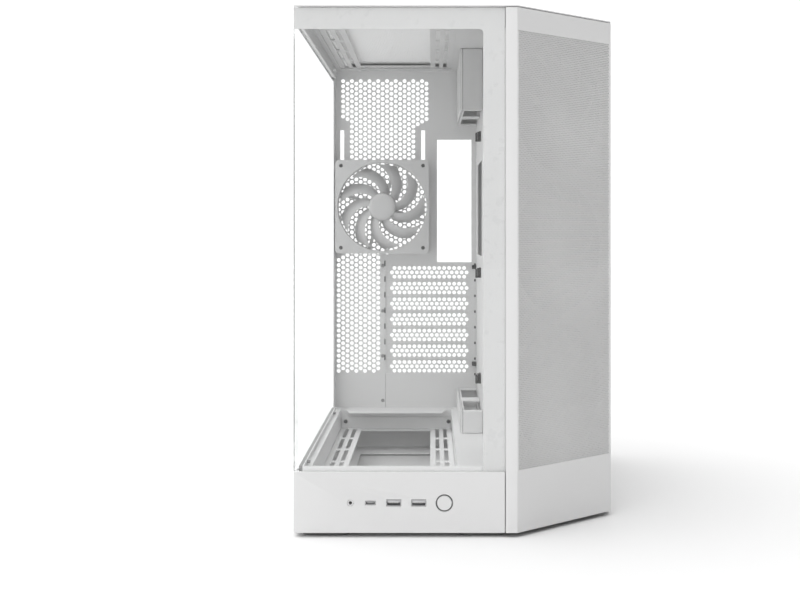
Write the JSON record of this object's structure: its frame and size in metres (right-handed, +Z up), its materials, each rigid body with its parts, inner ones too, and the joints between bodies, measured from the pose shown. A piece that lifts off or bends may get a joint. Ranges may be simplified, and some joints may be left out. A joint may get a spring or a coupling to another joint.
{
  "type": "dual-chamber computer case",
  "caption": "White dual-chamber tower computer case with glass front and side, a perforated 45 degree front corner, a rear fan and front sockets in the base.",
  "frame": {"origin": "on the ground under the middle of the bounding box", "axes": "+Z up, -Y is the front with the sockets, -X is the glass side"},
  "size_m": [0.315, 0.481, 0.506],
  "materials": {
    "white_powder_coat": "white powder coat, fine grain",
    "tempered_glass": "clear tempered glass with a white printed border",
    "white_plastic": "satin white moulding",
    "black_plastic": "matt black moulding",
    "grey_filter_plastic": "matt grey frame and mesh",
    "light_ring_plastic": "grey translucent ring",
    "port_metal": "bright plated shell",
    "circuit_board": "solder-masked board",
    "grey_rubber": "matt grey rubber"
  },
  "bodies": {
    "chassis": {"base_pan": "white_powder_coat", "floor_pan": "white_powder_coat", "top_frame": "white_powder_coat", "rear_wall": "white_powder_coat", "motherboard_tray": "white_powder_coat", "front_post": "white_powder_coat", "bottom_fan_tray": "white_powder_coat", "top_fan_bracket": "white_powder_coat", "side_fan_bracket": "white_powder_coat", "slot_cover_1": "white_powder_coat", "slot_cover_2": "white_powder_coat", "slot_cover_3": "white_powder_coat", "slot_cover_4": "white_powder_coat", "slot_cover_5": "white_powder_coat", "slot_cover_6": "white_powder_coat", "slot_cover_7": "white_powder_coat", "slot_ledge": "white_powder_coat", "psu_bracket": "white_powder_coat", "psu_shelf": "white_powder_coat", "drive_cage": "white_powder_coat", "ssd_plate": "white_powder_coat", "rear_fan_frame": "white_plastic", "side_fan_1_frame": "white_plastic", "side_fan_2_frame": "white_plastic", "side_fan_3_frame": "white_plastic", "cable_cover_top": "white_plastic", "cable_cover_bottom": "white_plastic", "front_fascia": "white_plastic", "audio_jack": "white_plastic", "cable_hook_1": "black_plastic", "cable_hook_2": "black_plastic", "cable_hook_3": "black_plastic", "drive_tray_1": "black_plastic", "drive_tray_2": "black_plastic", "io_carrier": "black_plastic", "button_light_ring": "light_ring_plastic", "usb_c_port": "port_metal", "usb_a_port_1": "port_metal", "usb_a_port_2": "port_metal", "io_board": "circuit_board", "foot_1": "grey_rubber", "foot_2": "grey_rubber", "foot_3": "grey_rubber", "foot_4": "grey_rubber"},
    "front_glass_panel": {"front_glass": "tempered_glass", "front_glass_rail_top": "white_powder_coat", "front_glass_rail_bottom": "white_powder_coat"},
    "left_glass_panel": {"left_glass": "tempered_glass", "left_glass_rail_top": "white_powder_coat", "left_glass_rail_bottom": "white_powder_coat"},
    "corner_cover": {"corner_panel": "white_powder_coat"},
    "right_cover": {"right_panel": "white_powder_coat"},
    "top_cover": {"top_panel": "white_powder_coat", "top_panel_frame": "white_plastic"},
    "button": {"power_button": "white_plastic"},
    "filter": {"bottom_filter": "grey_filter_plastic"},
    "rear_rotor": {"rear_fan_rotor": "white_plastic"},
    "side_rotor_1": {"side_fan_1_rotor": "white_plastic"},
    "side_rotor_2": {"side_fan_2_rotor": "white_plastic"},
    "side_rotor_3": {"side_fan_3_rotor": "white_plastic"}
  },
  "joints": [
    {"name": "front_glass_slide", "type": "slide", "parent": "chassis", "child": "front_glass_panel", "axis": [0, -1, 0], "range_m": [0, 0.08]},
    {"name": "left_glass_slide", "type": "slide", "parent": "chassis", "child": "left_glass_panel", "axis": [-1, 0, 0], "range_m": [0, 0.08]},
    {"name": "corner_cover_slide", "type": "slide", "parent": "chassis", "child": "corner_cover", "axis": [0.7071, -0.7071, 0], "range_m": [0, 0.08]},
    {"name": "right_cover_slide", "type": "slide", "parent": "chassis", "child": "right_cover", "axis": [1, 0, 0], "range_m": [0, 0.08]},
    {"name": "top_cover_slide", "type": "slide", "parent": "chassis", "child": "top_cover", "axis": [0, 0, 1], "range_m": [0, 0.08]},
    {"name": "filter_slide", "type": "slide", "parent": "chassis", "child": "filter", "axis": [-1, 0, 0], "range_m": [0, 0.15]},
    {"name": "power_button_press", "type": "slide", "parent": "chassis", "child": "button", "axis": [0, 1, 0], "range_m": [0, 0.0012], "stiffness_N_per_m": 800, "springref_m": -0.0005},
    {"name": "rear_fan_spin", "type": "hinge", "parent": "chassis", "child": "rear_rotor", "pos_m": [-0.09, 0.2167, 0.3218], "axis": [0, 1, 0], "continuous": true},
    {"name": "side_fan_1_spin", "type": "hinge", "parent": "chassis", "child": "side_rotor_1", "pos_m": [0.09028, -0.17328, 0.1335], "axis": [0.7071, -0.7071, 0], "continuous": true},
    {"name": "side_fan_2_spin", "type": "hinge", "parent": "chassis", "child": "side_rotor_2", "pos_m": [0.09028, -0.17328, 0.2743], "axis": [0.7071, -0.7071, 0], "continuous": true},
    {"name": "side_fan_3_spin", "type": "hinge", "parent": "chassis", "child": "side_rotor_3", "pos_m": [0.09028, -0.17328, 0.4151], "axis": [0.7071, -0.7071, 0], "continuous": true}
  ]
}
